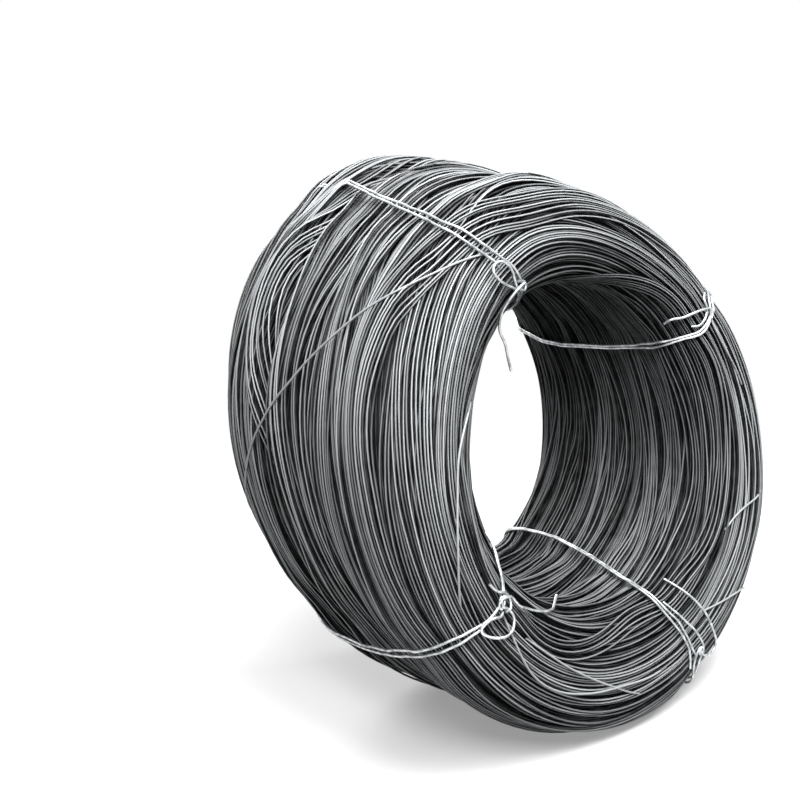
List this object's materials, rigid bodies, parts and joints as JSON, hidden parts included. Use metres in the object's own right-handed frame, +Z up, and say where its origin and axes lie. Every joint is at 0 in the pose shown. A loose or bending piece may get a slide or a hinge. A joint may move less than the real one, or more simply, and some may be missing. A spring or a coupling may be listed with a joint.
{
  "type": "coil of steel wire",
  "caption": "Coil of black annealed steel wire standing on its rim and leaning back, wound loose in bunches and held by doubled galvanised tie wires round its section.",
  "frame": {"origin": "on the floor under the middle of the coil", "axes": "+Z up, Y along the coil's axis with the ties' eyes on the end at -Y, X across the coil"},
  "size_m": [0.79, 0.5528, 0.79],
  "materials": {
    "annealed_wire": "black oxide of annealed drawn wire, faintly shiny along each turn",
    "tie_wire": "galvanised, dulled"
  },
  "bodies": {
    "root": {"wire_coil": "annealed_wire", "tie_wire_upper_left": "tie_wire", "tie_wire_upper_right": "tie_wire", "tie_wire_lower_right": "tie_wire", "tie_wire_lower_left": "tie_wire"}
  },
  "joints": []
}
